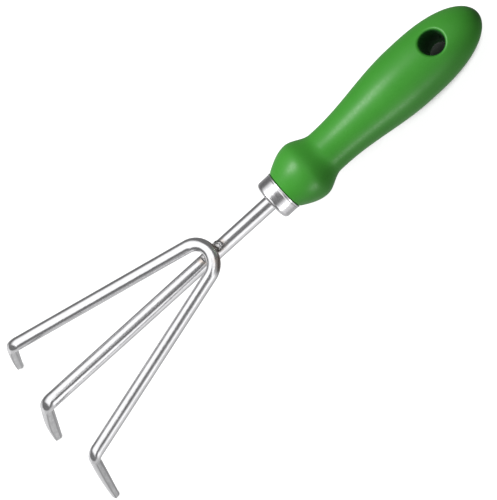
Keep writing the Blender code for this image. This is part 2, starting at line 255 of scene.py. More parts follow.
def split(tree, vector):
    node = tree.nodes.new("ShaderNodeSeparateXYZ")
    link(tree, vector, node.inputs[0])
    return node.outputs[0], node.outputs[1], node.outputs[2]


def bump_node(tree, height, distance, strength=1.0):
    node = tree.nodes.new("ShaderNodeBump")
    link(tree, height, node.inputs["Height"])
    node.inputs["Distance"].default_value = distance
    node.inputs["Strength"].default_value = strength
    return node.outputs["Normal"]


def new_material(name, metallic):
    material = bpy.data.materials.new(name)
    material.use_nodes = True
    tree = material.node_tree
    shader = tree.nodes["Principled BSDF"]
    shader.inputs["Metallic"].default_value = metallic
    return material, tree, shader


def carried(tree, name, output="Fac"):
    """A number or a vector that the mesh carries at each of its points."""
    node = tree.nodes.new("ShaderNodeAttribute")
    node.attribute_name = name
    return node.outputs[output]


# ---- materials ----


def heat_tint(tree, lay, base):
    """Straw and brown tint on the base colour by the welds; also gives how hot each place was."""
    patch = noise_node(tree, lay, 0.35, 3.0, 0.6)
    patchy = step_node(tree, patch, 0.3, 0.6, 0.45, 1.0)
    heat = times(tree, carried(tree, "heated"), patchy)
    straw = step_node(tree, heat, 0.05, 0.45)
    brown = step_node(tree, heat, 0.45, 0.95)
    base = mix_node(tree, times(tree, straw, ROD_SCORCH), base, (0.62, 0.47, 0.35, 1.0))
    base = mix_node(tree, times(tree, brown, ROD_SCORCH), base, (0.32, 0.23, 0.17, 1.0))
    # A wire brush has left streaks in the scale.
    streak = noise_node(tree, stretched(tree, lay, (0.06, 0.75, 0.75)), 1.0, 3.0, 0.6)
    streaky = step_node(tree, streak, 0.46, 0.56)
    brushed = times(tree, streaky, step_node(tree, heat, 0.0, 0.4))
    base = mix_node(tree, times(tree, brushed, 0.7), base, (0.24, 0.21, 0.19, 1.0))
    return base, heat


def steel_material():
    """Drawn and polished bar. It is satin and grained where ground, and tinted where heated."""
    material, tree, shader = new_material("polished_bar_steel", 1.0)
    lay = carried(tree, "lay", "Vector")
    ground = carried(tree, "ground")

    polishing = noise_node(tree, stretched(tree, lay, (3.0, 0.6, 0.6)), 1.3, 4.0, 0.65)
    drawing = noise_node(tree, stretched(tree, lay, (0.10, 1.8, 1.8)), 1.0, 4.0, 0.65)
    mottle = noise_node(tree, stretched(tree, lay, (0.6, 1.2, 1.2)), 1.0, 4.0, 0.65)
    grain = noise_node(tree, stretched(tree, lay, (0.16, 1.5, 1.5)), 1.0, 5.0, 0.75)
    blotch = noise_node(tree, lay, 0.12, 2.0, 0.5)

    smooth = step_node(tree, polishing, 0.3, 0.7, ROD_POLISH * 0.75, ROD_POLISH * 1.35)
    rough = step_node(tree, grain, 0.3, 0.7, ROD_GRIND * 0.85, ROD_GRIND * 1.15)
    rougher = times(tree, math_node(tree, "SUBTRACT", rough, smooth), ground)
    roughness = plus(tree, smooth, rougher)

    darker = tuple(channel * 0.93 for channel in ROD_COLOUR)
    tone = step_node(tree, blotch, 0.35, 0.65)
    base = mix_node(tree, tone, (*darker, 1.0), (*ROD_COLOUR, 1.0))
    mottled = step_node(tree, mottle, 0.34, 0.60, 0.10, 0.0)
    base = mix_node(tree, mottled, base, (0.35, 0.34, 0.36, 1.0))
    grained = step_node(tree, grain, 0.32, 0.68)
    satin = mix_node(tree, grained, (0.62, 0.62, 0.625, 1.0), (0.86, 0.86, 0.86, 1.0))
    base = mix_node(tree, ground, base, satin)
    # A dark line is painted along the blades' creased edges, a painted shade where the faces
    # turn, broken up by the grain.
    broken = step_node(tree, grain, 0.3, 0.6, 0.25, 0.65)
    edge = times(tree, carried(tree, "edge"), broken)
    base = mix_node(tree, edge, base, (0.16, 0.16, 0.165, 1.0))
    base, heat = heat_tint(tree, lay, base)
    roughness = plus(tree, roughness, times(tree, heat, 0.34))
    link(tree, base, shader.inputs["Base Color"])
    link(tree, roughness, shader.inputs["Roughness"])

    height = times(tree, drawing, 4.0)
    height = plus(tree, height, times(tree, times(tree, grain, ground), 7.0))
    height = plus(tree, height, times(tree, polishing, 0.35))
    height = plus(tree, height, times(tree, mottle, 7.0))
    link(tree, bump_node(tree, height, 0.006 * MM), shader.inputs["Normal"])
    return material


def ferrule_material():
    """Turned and brushed: fine marks run round the cap."""
    material, tree, shader = new_material("ferrule_brushed_steel", 1.0)
    lay = carried(tree, "lay", "Vector")
    marks = noise_node(tree, stretched(tree, lay, (6.0, 0.14, 0.14)), 1.0, 4.0, 0.65)
    cross = noise_node(tree, stretched(tree, lay, (1.6, 0.35, 0.35)), 1.0, 4.0, 0.7)
    blotch = noise_node(tree, lay, 0.15, 2.0, 0.5)
    base = mix_node(tree, blotch, (0.70, 0.695, 0.705, 1.0), (0.80, 0.795, 0.80, 1.0))
    crossed = step_node(tree, cross, 0.35, 0.6, 0.22, 0.0)
    base = mix_node(tree, crossed, base, (0.34, 0.33, 0.35, 1.0))
    link(tree, base, shader.inputs["Base Color"])
    roughness = step_node(tree, marks, 0.3, 0.7, 0.12, 0.24)
    link(tree, roughness, shader.inputs["Roughness"])
    height = plus(tree, marks, times(tree, cross, 2.5))
    link(tree, bump_node(tree, height, 0.008 * MM), shader.inputs["Normal"])
    return material


def weld_material():
    """A small bead of stainless weld, brushed but still tinted in its hollows."""
    material, tree, shader = new_material("weld_bead_steel", 1.0)
    coordinates = tree.nodes.new("ShaderNodeTexCoord").outputs["Object"]
    coarse = noise_node(tree, coordinates, 620.0, 4.0, 0.65)
    fine = noise_node(tree, coordinates, 2600.0, 3.0, 0.6)
    raised = step_node(tree, coarse, 0.40, 0.58)
    base = mix_node(tree, raised, (0.09, 0.085, 0.08, 1.0), (0.70, 0.69, 0.69, 1.0))
    link(tree, base, shader.inputs["Base Color"])
    link(tree, step_node(tree, fine, 0.3, 0.7, 0.22, 0.42), shader.inputs["Roughness"])
    height = plus(tree, coarse, times(tree, fine, 0.3))
    link(tree, bump_node(tree, height, 0.12 * MM, 0.6), shader.inputs["Normal"])
    return material


def handle_material():
    """Moulded green plastic, satin, with a faint texture and faint unevenness of colour."""
    material, tree, shader = new_material("handle_green_plastic", 0.0)
    coordinates = tree.nodes.new("ShaderNodeTexCoord").outputs["Object"]
    cloud = noise_node(tree, coordinates, 35.0, 3.0, 0.5)
    speck = noise_node(tree, coordinates, 1800.0, 2.0, 0.6)
    skin = noise_node(tree, coordinates, 700.0, 3.0, 0.6)
    uneven = step_node(tree, cloud, 0.3, 0.7)
    base = mix_node(tree, uneven, (0.038, 0.240, 0.022, 1.0), (0.046, 0.262, 0.027, 1.0))
    specks = step_node(tree, speck, 0.62, 0.8, 0.0, 0.18)
    base = mix_node(tree, specks, base, (0.07, 0.28, 0.055, 1.0))
    # The bore's wall is painted dark, a painted shade for the shadow inside the hanging hole; it
    # is also left dull, as it came off its core pin.
    inside = carried(tree, "inside")
    base = mix_node(tree, inside, base, (0.001, 0.075, 0.004, 1.0))
    link(tree, base, shader.inputs["Base Color"])
    rough = step_node(tree, skin, 0.3, 0.7, 0.33, 0.41)
    rough = plus(tree, rough, times(tree, inside, 0.60))
    link(tree, rough, shader.inputs["Roughness"])
    shader.inputs["Specular IOR Level"].default_value = 0.25
    link(tree, bump_node(tree, skin, 0.02 * MM, 0.5), shader.inputs["Normal"])
    return material


def floor_material():
    """Pale and matt, and white as the backdrop wherever it lies open; near the tool its glow is
    dimmed as a painted contact shadow.
    """
    material, tree, shader = new_material("pale_floor", 0.0)
    shader.inputs["Base Color"].default_value = (0.25, 0.25, 0.25, 1.0)
    shader.inputs["Roughness"].default_value = 1.0
    shader.inputs["Specular IOR Level"].default_value = 0.0
    shader.inputs["Emission Color"].default_value = (1.0, 1.0, 1.0, 1.0)
    # Right under the handle, and through its hole, the floor's glow is turned down by occlusion:
    # a painted shadow.
    openness = tree.nodes.new("ShaderNodeAmbientOcclusion")
    openness.samples = 16
    openness.inputs["Distance"].default_value = CONTACT_REACH
    open_share = step_node(tree, openness.outputs["AO"], 0.32, 0.42, 0.0, 0.94)
    link(tree, open_share, shader.inputs["Emission Strength"])
    return material


# ---- where the tool stands ----


def tool_matrix(record):
    """Tool axes to the row frame, from the one point that the record gives on the tool."""
    mount = record["mounts"][0]
    tip = Vector(mount["pos_m"])
    along = Vector(mount["axis"])
    tilt = math.atan2(along.z, along.x) - math.atan2(CENTRE_HOOK.z, CENTRE_HOOK.x)
    turn = Matrix.Rotation(-tilt, 4, "Y")
    tip_in_tool = Vector((CENTRE_BEND_X, 0, 0)) + CENTRE_HOOK
    return Matrix.Translation(tip - turn @ tip_in_tool) @ turn


def handle_matrix(tool):
    return tool @ Euler((HANDLE_TURN, 0, HANDLE_SET)).to_matrix().to_4x4()


# ---- building meshes ----


def new_piece(name, mesh, material, node):
    piece = bpy.data.objects.new(name, mesh)
    bpy.context.scene.collection.objects.link(piece)
    mesh.materials.append(material)
    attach(piece, "root")
    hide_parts(node)
    return piece


def rounded_path(corners, radii):
    """(point, direction) stations along straight runs joined by arcs."""
    stations = [(corners[0], (corners[1] - corners[0]).normalized())]
    for before, corner, after, radius in zip(corners, corners[1:], corners[2:], radii):
        inward = (corner - before).normalized()
        outward = (after - corner).normalized()
        turn = inward.angle(outward)
        axis = inward.cross(outward).normalized()
        start = corner - inward * radius * math.tan(turn / 2)
        centre = start + axis.cross(inward) * radius
        last = stations[-1][0]
        if (start - last).length > GAP:
            for step in range(1, STRAIGHT_STEPS):
                stations.append((last.lerp(start, step / STRAIGHT_STEPS), inward))
        for step in range(ARC_STEPS + 1):
            rotation = Matrix.Rotation(turn * step / ARC_STEPS, 3, axis)
            point = centre + rotation @ (start - centre)
            if (point - stations[-1][0]).length > GAP / 10:
                stations.append((point, rotation @ inward))
    stations.append((corners[-1], (corners[-1] - corners[-2]).normalized()))
    return stations


def swell_at(share, swell):
    return swell / 2 * math.sin(math.pi * share)


def rod_section(radius):
    return {"a": radius, "b": radius, "w": radius, "ground": 0.0}


def blade_section(width, depth, face, left):
    """A blade's section, which shrinks near the rounded tip; left is the length to its end."""
    rounding = math.sqrt(max(1 - (1 - clamp01(left / TIP_ROUNDING)) ** 2, 0.0))
    shrink = TIP_SIZE + (1 - TIP_SIZE) * rounding
    return {"a": face * shrink, "b": depth * shrink, "w": width * shrink, "ground": 1.0}


def tine_stations(corners, radii, radius, root, tip, swell, ahead):
    """Stations and sections: a round rod that is ground thin from the hook's bend on.

    Each section is an ellipse (a across, b deep) cut off flat at w to both sides.
    """
    path = rounded_path(corners, radii)
    arc_start = len(path) - 2 - ARC_STEPS
    stations = []
    for index, (point, direction) in enumerate(path[:-1]):
        section = rod_section(radius)
        if index > arc_start:
            share = (index - arc_start) / ARC_STEPS
            grinding = share**1.5
            section["w"] = radius + (root[0] - radius) * grinding
            section["b"] = radius + (root[1] - radius) * share
            section["a"] = radius * 1.02
            section["ground"] = ease((share - 0.55) / 0.45)
        stations.append((point, direction, section))
    start, direction = path[-2]
    end = path[-1][0]
    outward = (ahead - direction * ahead.dot(direction)).normalized()
    length = (end - start).length
    round_face = 1.02 * radius / root[0]
    for step in range(1, BLADE_STEPS + 1):
        share = step / BLADE_STEPS
        swollen = swell_at(share, swell)
        widening = 1 + BLADE_WIDENING * math.sin(math.pi * share)
        width = (root[0] + (tip[0] - root[0]) * share) * widening
        depth = root[1] + (tip[1] - root[1]) * share + swollen
        face = width * (round_face + (FACE_FLATNESS - round_face) * ease(share * 2.5))
        shares = [share]
        if step == BLADE_STEPS - 1:
            shares += [share + (1 - share) * part for part in TIP_SHARES]
        for place in shares:
            point = start + (end - start) * place + outward * swell_at(place, swell)
            section = blade_section(width, depth, face, (1 - place) * length)
            stations.append((point, direction, section))
    return stations


def crease_angle(half_width, radius):
    """Where an arc of this radius across meets the flat flank."""
    return max(math.acos(clamp01(half_width / radius)), math.radians(3))


def section_points(section):
    """(across, deep, share of ground flank, share of crease) of the section's points."""
    b, w = section["b"], section["w"]
    inner_face = w + (section["a"] - w) * (1 - REAR_ROUNDING)
    outer = crease_angle(w, section["a"])
    inner = crease_angle(w, inner_face)
    points = []
    for side, first, last, face in ((1, inner, outer, outer), (-1, outer, inner, inner)):
        start = -side * b * math.sin(first)
        end = side * b * math.sin(last)
        for step in range(FACE_POINTS):
            deep = start + (end - start) * step / FACE_POINTS
            points.append((side * w, deep, 1.0, 1.0 if step == 0 else 0.0))
        for step in range(ROUND_POINTS):
            angle = face + (math.pi - 2 * face) * step / ROUND_POINTS
            across = side * w * math.cos(angle) / math.cos(face)
            crease = max(1 - step / EDGE_POINTS, 0.0)
            points.append((across, side * b * math.sin(angle), 0.0, crease))
    return points


def loft_tine(name, stations, up, mirrored=False):
    """A mesh through the sections that carries its lay, and how ground and creased it is."""
    mesh = bmesh.new()
    lay = mesh.verts.layers.float_vector.new("lay")
    ground = mesh.verts.layers.float.new("ground")
    edge = mesh.verts.layers.float.new("edge")
    previous = stations[0][1]
    before = stations[0][0]
    travelled = 0.0
    loops = []
    for point, direction, section in stations:
        up = previous.rotation_difference(direction) @ up
        up = (up - direction * up.dot(direction)).normalized()
        side = up.cross(direction)
        travelled += (point - before).length
        loop = []
        outline = section_points(section)
        for number, (across, deep, flat, crease) in enumerate(outline):
            vertex = mesh.verts.new(point + side * across + up * deep)
            angle = 2 * math.pi * number / len(outline)
            # The lay is wrapped on a circle, so that no seam shows.
            girth = section["b"] / MM
            vertex[lay] = (travelled / MM, girth * math.cos(angle), girth * math.sin(angle))
            # The outer and inner faces are left half polished; the flanks are satin.
            vertex[ground] = section["ground"] * (1.0 if flat else FACE_GRINDING)
            # edge is 1 at the blade's creases, where painted shade is laid on.
            vertex[edge] = section["ground"] * crease
            loop.append(vertex)
        loops.append(loop)
        previous = direction
        before = point
    count = len(loops[0])
    for first, second in zip(loops, loops[1:]):
        for i in range(count):
            j = (i + 1) % count
            mesh.faces.new((first[i], first[j], second[j], second[i]))
    mesh.faces.new(loops[-1])
    if mirrored:
        bmesh.ops.mirror(
            mesh,
            geom=mesh.verts[:] + mesh.edges[:] + mesh.faces[:],
            axis="Y",
            merge_dist=0.01 * MM,
        )
    else:
        mesh.faces.new(list(reversed(loops[0])))
    bmesh.ops.recalc_face_normals(mesh, faces=mesh.faces)
    data = bpy.data.meshes.new(name)
    mesh.to_mesh(data)
    mesh.free()
    return data


def finish_mesh(data, matrix, sharp=28):
    data.transform(matrix)
    data.shade_smooth()
    data.set_sharp_from_angle(angle=math.radians(sharp))


def turned_mesh(name, profile, closed):
    """The profile of (radius, place) turned about the tool's X axis, with its lay."""
    mesh = bmesh.new()
    lay = mesh.verts.layers.float_vector.new("lay")
    rings = []
    travelled = 0.0
    before = profile[0]
    for radius, place in profile:
        travelled += math.dist(before, (radius, place))
        before = (radius, place)
        if radius < GAP / 100:
            vertex = mesh.verts.new((place, 0, 0))
            rings.append([vertex])
            continue
        ring = []
        for step in range(TURNED_STEPS):
            angle = 2 * math.pi * step / TURNED_STEPS
            vertex = mesh.verts.new((place, radius * math.sin(angle), radius * math.cos(angle)))
            girth = radius / MM
            vertex[lay] = (travelled / MM, girth * math.cos(angle), girth * math.sin(angle))
            ring.append(vertex)
        rings.append(ring)
    pairs = list(zip(rings, rings[1:]))
    if closed:
        pairs.append((rings[-1], rings[0]))
    for first, second in pairs:
        for i in range(TURNED_STEPS):
            j = (i + 1) % TURNED_STEPS
            if len(first) == 1:
                mesh.faces.new((first[0], second[j], second[i]))
            elif len(second) == 1:
                mesh.faces.new((first[i], first[j], second[0]))
            else:
                mesh.faces.new((first[i], first[j], second[j], second[i]))
    bmesh.ops.recalc_face_normals(mesh, faces=mesh.faces)
    data = bpy.data.meshes.new(name)
    mesh.to_mesh(data)
    mesh.free()
    return data


# ---- rods ----


def add_heat(data, places, reach):
    """Marks how much each point was heated by the welds, 1 at a weld and 0 beyond reach."""
    heat = data.attributes.new("heated", "FLOAT", "POINT")
    for vertex in data.vertices:
        near = min((vertex.co - place).length for place in places)
        heat.data[vertex.index].value = 1 - clamp01(near / reach)


def weld_places():
    rear = Vector((FORK_CROWN_X - WELD_REACH, 0, WELD_HEIGHT))
    front = Vector((FORK_CROWN_X + WELD_REACH, 0, WELD_HEIGHT))
    return rear, front


def make_centre_rod(tool, material):
    bend = Vector((CENTRE_BEND_X, 0, 0))
    ahead = Vector((1, 0, 0))
    wing_start = -TANG_REACH + TANG_WING_FROM_END
    wing_end = wing_start + TANG_WING_LENGTH
    stations = tine_stations(
        [Vector((wing_end + TANG_WING_RAMP, 0, 0)), bend, bend + CENTRE_HOOK],
        [HOOK_BEND_RADIUS],
        CENTRE_ROD_RADIUS,
        CENTRE_ROOT,
        CENTRE_TIP,
        CENTRE_SWELL,
        ahead,
    )
    rod = rod_section(CENTRE_ROD_RADIUS)
    wing = {"a": TANG_WING[0], "b": TANG_WING[1], "w": TANG_WING[0], "ground": 0.0}
    tang = [(-TANG_REACH, rod), (wing_start - TANG_WING_RAMP, rod)]
    tang += [(wing_start, wing), (wing_end, wing)]
    stations = [(Vector((x, 0, 0)), ahead, section) for x, section in tang] + stations
    data = loft_tine("centre_tine_and_shaft", stations, Vector((0, 0, 1)))
    add_heat(data, weld_places(), SHAFT_HEAT_REACH)
    finish_mesh(data, tool)
    return new_piece("centre_tine_and_shaft", data, material, "centre_rod")


def make_fork_rod(tool, material):
    forward = Vector((math.cos(FORK_DROOP), 0, -math.sin(FORK_DROOP)))
    across = Vector((0, 1, 0))
    crown = Vector((FORK_CROWN_X, 0, CENTRE_ROD_RADIUS + GAP + FORK_ROD_RADIUS))
    half_turn = math.pi / 2 - FORK_HALF_ANGLE
    shoulder = crown + across * FORK_BEND_RADIUS * math.tan(half_turn / 2)
    leg = forward * math.cos(FORK_HALF_ANGLE) + across * math.sin(FORK_HALF_ANGLE)
    bend = shoulder + leg * FORK_LEG_LENGTH / leg.dot(forward)
    ahead = Vector((math.cos(FORK_HALF_ANGLE), math.sin(FORK_HALF_ANGLE), 0))
    outward = Vector((-math.sin(FORK_HALF_ANGLE), math.cos(FORK_HALF_ANGLE), 0))
    drop = Vector((0, 0, -FORK_HOOK_DEPTH))
    tip = bend + ahead * FORK_HOOK_FORWARD + outward * FORK_HOOK_OUTWARD + drop
    stations = tine_stations(
        [crown, shoulder, bend, tip],
        [FORK_BEND_RADIUS, HOOK_BEND_RADIUS],
        FORK_ROD_RADIUS,
        FORK_ROOT,
        FORK_TIP,
        FORK_SWELL,
        (bend - shoulder).normalized(),
    )
    up = Vector((math.sin(FORK_DROOP), 0, math.cos(FORK_DROOP)))
    data = loft_tine("fork_of_outer_tines", stations, up, mirrored=True)
    # The crown was heated from its rear weld, and more to one side.
    side = Vector((FORK_CROWN_X - 1 * MM, 8 * MM, WELD_HEIGHT + 1 * MM))
    add_heat(data, [weld_places()[0], side], CROWN_HEAT_REACH)
    finish_mesh(data, tool)
    return new_piece("fork_of_outer_tines", data, material, "fork_rod")


# ---- welds ----


def make_weld(name, node, place, size, seed, tool, material):
    """A lump with ripples. It sinks into both rods, as a weld does."""
    mesh = bmesh.new()
    bmesh.ops.create_icosphere(mesh, subdivisions=5, radius=1.0)
    for vertex in mesh.verts:
        direction = vertex.co.normalized()
        lump = noise.fractal(direction * 2.3 + Vector((seed, 0, 0)), 1.0, 2.0, 3)
        ripple = noise.noise(direction * 6.5 + Vector((0, seed, 0)))
        scale = 0.93 + 0.10 * lump + 0.05 * ripple
        vertex.co = Vector([axis * length for axis, length in zip(direction * scale, size)])
    bmesh.ops.translate(mesh, vec=place, verts=mesh.verts)
    data = bpy.data.meshes.new(name)
    mesh.to_mesh(data)
    mesh.free()
    finish_mesh(data, tool, sharp=80)
    return new_piece(name, data, material, node)


# ---- ferrule ----


def arc_points(centre_radius, centre_place, size, start, end, steps):
    """(radius, place) points of a rounded corner, from start to end in degrees."""
    points = []
    for step in range(steps + 1):
        angle = math.radians(start + (end - start) * step / steps)
        radius = centre_radius + size * math.cos(angle)
        points.append((radius, centre_place + size * math.sin(angle)))
    return points


def make_ferrule(axis, material):
    hole = CENTRE_ROD_RADIUS + GAP
    inner = FERRULE_RADIUS - FERRULE_WALL
    rear = -FERRULE_LENGTH
    edge = FERRULE_HOLE_ROUNDING
    profile = [(hole, -FERRULE_WALL)]
    profile += arc_points(hole + edge, -edge, edge, 180, 90, 6)
    flat = FERRULE_RADIUS - FERRULE_CORNER
    profile += arc_points(flat, -FERRULE_CORNER, FERRULE_CORNER, 90, 0, 20)
    lip_start = rear + FERRULE_LIP_LENGTH
    side = FERRULE_LENGTH - FERRULE_CORNER - FERRULE_LIP_LENGTH
    for step in range(1, 8):
        profile.append((FERRULE_RADIUS, -FERRULE_CORNER - (step / 8) * side))
    profile.append((FERRULE_RADIUS, lip_start))
    lip = FERRULE_LIP_LENGTH / 2
    for step in range(9):
        angle = math.pi * step / 8
        radius = FERRULE_RADIUS - 0.05 * MM + (FERRULE_LIP + 0.05 * MM) * math.sin(angle) ** 0.6
        profile.append((radius, rear + lip + lip * 0.9 * math.cos(angle)))
    profile += [(FERRULE_RADIUS - 0.2 * MM, rear), (inner, rear)]
    inner_corner = FERRULE_CORNER - FERRULE_WALL
    profile += arc_points(inner - inner_corner, -FERRULE_CORNER, inner_corner, 0, 90, 5)
    data = turned_mesh("ferrule_cap", profile, closed=True)
    finish_mesh(data, axis, sharp=50)
    return new_piece("ferrule_cap", data, material, "ferrule")


# ---- handle ----


def handle_radius(place):
    """Outer radius of the handle at this distance behind the seam."""
    if place <= BULB_PEAK:
        rise = math.sin(math.pi / 2 * place / BULB_PEAK)
        return SEAM_RADIUS + (BULB_RADIUS - SEAM_RADIUS) * rise
    if place <= BULB_END:
        fall = 0.5 + 0.5 * math.cos(math.pi * (place - BULB_PEAK) / (BULB_END - BULB_PEAK))
        return NECK_RADIUS + (BULB_RADIUS - NECK_RADIUS) * fall
    if place <= NECK_END:
        return NECK_RADIUS
    if place <= GRIP_PEAK:
        rise = 0.5 - 0.5 * math.cos(math.pi * (place - NECK_END) / (GRIP_PEAK - NECK_END))
        return NECK_RADIUS + (GRIP_RADIUS - NECK_RADIUS) * rise
    if place <= GRIP_END:
        return GRIP_RADIUS
    share = min((place - GRIP_END) / (HANDLE_LENGTH - GRIP_END), 1.0)
    return GRIP_RADIUS * math.sqrt(1 - share**END_POWER)


def handle_axis_point(place):
    return -FERRULE_LENGTH - GAP - place


def handle_mesh():
    """The grip without its hole, with the spigot that goes into the ferrule."""
    places = [GRIP_END * step / GRIP_STEPS for step in range(1, GRIP_STEPS + 1)]
    for step in range(1, END_STEPS):
        share = math.sin(math.pi / 2 * step / END_STEPS)
        places.append(GRIP_END + (HANDLE_LENGTH - GRIP_END) * share)
    spigot = FERRULE_RADIUS - FERRULE_WALL - GAP
    spigot_front = -FERRULE_WALL - GAP
    chamfer = FERRULE_CORNER - FERRULE_WALL
    edge = SEAM_ROUNDING
    profile = [(0.0, spigot_front), (spigot - chamfer, spigot_front)]
    profile += [(spigot, spigot_front - chamfer), (spigot, handle_axis_point(0))]
    # The shoulder at the seam is a little rounded.
    for step in range(6):
        angle = math.pi / 2 * step / 5
        place = edge * (1 - math.cos(angle))
        radius = handle_radius(place) - edge * (1 - math.sin(angle))
        profile.append((radius, handle_axis_point(place)))
    for place in places:
        if place > edge:
            profile.append((handle_radius(place), handle_axis_point(place)))
    profile.append((0.0, handle_axis_point(HANDLE_LENGTH)))
    return turned_mesh("handle_grip", profile, closed=False)


def loft_plain(name, rings):
    """A closed mesh through the rings, which all have the same number of points."""
    mesh = bmesh.new()
    loops = [[mesh.verts.new(point) for point in ring] for ring in rings]
    count = len(rings[0])
    for first, second in zip(loops, loops[1:]):
        for i in range(count):
            j = (i + 1) % count
            mesh.faces.new((first[i], first[j], second[j], second[i]))
    mesh.faces.new(loops[-1])
    mesh.faces.new(list(reversed(loops[0])))
    bmesh.ops.recalc_face_normals(mesh, faces=mesh.faces)
    data = bpy.data.meshes.new(name)
    mesh.to_mesh(data)
    mesh.free()
    return data


def hole_mesh():
    """The hanging hole as a solid: a drill whose mouths round over onto the handle's skin."""
    middle = handle_axis_point(HOLE_FROM_SEAM)
    above = GRIP_RADIUS + 2 * HOLE_ROUNDING
    levels = []
    for step in range(MOUTH_STEPS + 1):
        angle = HOLE_MOUTH_ANGLE * (1 - step / MOUTH_STEPS)
        spread = HOLE_RADIUS + HOLE_ROUNDING * (1 - math.cos(angle))
        levels.append((spread, HOLE_ROUNDING * (1 - math.sin(angle))))

    def ring(spread, depth, side, flat_height=None):
        points = []
        for step in range(HOLE_POINTS):
            direction = 2 * math.pi * step / HOLE_POINTS
            along = spread * math.cos(direction)
            across = spread * math.sin(direction)
            skin = handle_radius(HOLE_FROM_SEAM - along)
            height = math.sqrt(skin**2 - across**2) - depth
            if flat_height is not None:
                height = flat_height
            points.append(Vector((middle + along, across, side * height)))
        return points

    widest = levels[0][0] + HOLE_ROUNDING / 4
    rings = [ring(widest, 0, 1, above)]
    rings += [ring(spread, depth, 1) for spread, depth in levels]
    rings += [ring(spread, depth, -1) for spread, depth in reversed(levels)]
    rings.append(ring(widest, 0, -1, above))
    return loft_plain("hole_cutter", rings)


def tang_mesh():
    """The room left in the moulding round the tang."""
    wing_start = -TANG_REACH + TANG_WING_FROM_END
    wing_end = wing_start + TANG_WING_LENGTH
    rod = CENTRE_ROD_RADIUS + GAP
    wing = (TANG_WING[0] + GAP, TANG_WING[1] + GAP)
    levels = [
        (-TANG_REACH - GAP, rod, rod),
        (wing_start - TANG_WING_RAMP, rod, rod),
        (wing_start, *wing),
        (wing_end, *wing),
        (wing_end + TANG_WING_RAMP, rod, rod),
        (GAP, rod, rod),
    ]
    rings = []
    for x, half_width, half_depth in levels:
        ring = []
        for step in range(TANG_POINTS):
            angle = 2 * math.pi * step / TANG_POINTS
            across = half_width * math.cos(angle)
            ring.append(Vector((x, across, half_depth * math.sin(angle))))
        rings.append(ring)
    return loft_plain("tang_cutter", rings)


def make_handle(tool, axis, material):
    """The grip, with the hanging hole and the tang's room cut out of it."""
    data = handle_mesh()
    data.transform(axis)
    handle = new_piece("handle_grip", data, material, "handle")
    for cutter_data, matrix in ((hole_mesh(), axis), (tang_mesh(), tool)):
        cutter_data.transform(matrix)
        cutter = bpy.data.objects.new(cutter_data.name, cutter_data)
        bpy.context.scene.collection.objects.link(cutter)
        modifier = handle.modifiers.new("cut", "BOOLEAN")
        modifier.operation = "DIFFERENCE"
        modifier.solver = "EXACT"
        modifier.object = cutter
        bpy.context.view_layer.update()
        graph = bpy.context.evaluated_depsgraph_get()
        result = bpy.data.meshes.new_from_object(handle.evaluated_get(graph))
        handle.modifiers.remove(modifier)
        handle.data = result
        bpy.data.objects.remove(cutter)
    handle.data.shade_smooth()
    handle.data.set_sharp_from_angle(angle=math.radians(40))
    mark_bore(handle.data, axis)
    return handle


def mark_bore(data, axis):
    """inside is 1 on the wall of the hanging hole, and fades out over its rounded mouths; it
    masks the bore's painted shade and its dullness.
    """
    back = axis.inverted()
    middle = handle_axis_point(HOLE_FROM_SEAM)
    inside = data.attributes.new("inside", "FLOAT", "POINT")
    for vertex in data.vertices:
        place = back @ vertex.co
        reach = math.hypot(place.x - middle, place.y)
        wall = 1 - clamp01((reach - HOLE_RADIUS) / (0.45 * HOLE_ROUNDING))
        inside.data[vertex.index].value = wall


# ---- studio ----


def make_floor():
    mesh = bmesh.new()
    bmesh.ops.create_circle(mesh, cap_ends=True, segments=96, radius=FLOOR_RADIUS)
    data = bpy.data.meshes.new("floor")
    mesh.to_mesh(data)
    mesh.free()
    floor = bpy.data.objects.new("floor", data)
    floor.location = (0, 0, -FLOOR_DROP)
    bpy.context.scene.collection.objects.link(floor)
    data.materials.append(floor_material())
    # The steel shows the studio's panels in its lower half, not the bare floor.
    floor.visible_glossy = False
    floor.visible_diffuse = False
    return floor


def patch_node(tree, x, y, z, centre, radii, turn, soft):
    """1 in an ellipse of directions round the zenith, 0 outside it, and soft at its edge.

    centre and radii are in x and y of the direction, and turn is in degrees.
    """
    dx = math_node(tree, "SUBTRACT", x, centre[0])
    dy = math_node(tree, "SUBTRACT", y, centre[1])
    c, s = math.cos(math.radians(turn)), math.sin(math.radians(turn))
    first = plus(tree, times(tree, dx, c), times(tree, dy, s))
    second = math_node(tree, "SUBTRACT", times(tree, dy, c), times(tree, dx, s))
    first = math_node(tree, "DIVIDE", first, radii[0])
    second = math_node(tree, "DIVIDE", second, radii[1])
    squares = plus(tree, times(tree, first, first), times(tree, second, second))
    inside = step_node(tree, math_node(tree, "SQRT", squares), 1 + soft, 1 - soft)
    return times(tree, inside, step_node(tree, z, 0.0, 0.1))


def upper_radiance(tree, x, y, z):
    """Above the horizon: the tent, with its gaps, and dark card low down at -Y and +X."""
    camera_gap = patch_node(tree, x, y, z, (0.0, 0.39), (0.16, 0.48), 0, 0.36)
    side_gap = patch_node(tree, x, y, z, (0.32, 0.61), (0.44, 0.20), 10, 0.36)
    gap = math_node(tree, "MAXIMUM", camera_gap, side_gap)
    # At +Y the tent is white down to the floor, apart from the far corner.
    card = times(tree, step_node(tree, y, 0.55, 0.15), step_node(tree, z, 0.78, 0.14))
    corner = times(tree, step_node(tree, y, 0.5, 0.7), step_node(tree, x, 0.3, 0.5))
    card = math_node(tree, "MAXIMUM", card, times(tree, corner, 0.62))
    ahead = times(tree, step_node(tree, x, 0.66, 0.76), step_node(tree, y, 0.85, 0.70))
    card = math_node(tree, "MAXIMUM", card, times(tree, ahead, 0.95))
    tent = math_node(tree, "SUBTRACT", 1.0, gap)
    tent = times(tree, tent, math_node(tree, "SUBTRACT", 1.0, card))
    return math_node(tree, "MULTIPLY_ADD", tent, TENT_RADIANCE, CARD_RADIANCE)


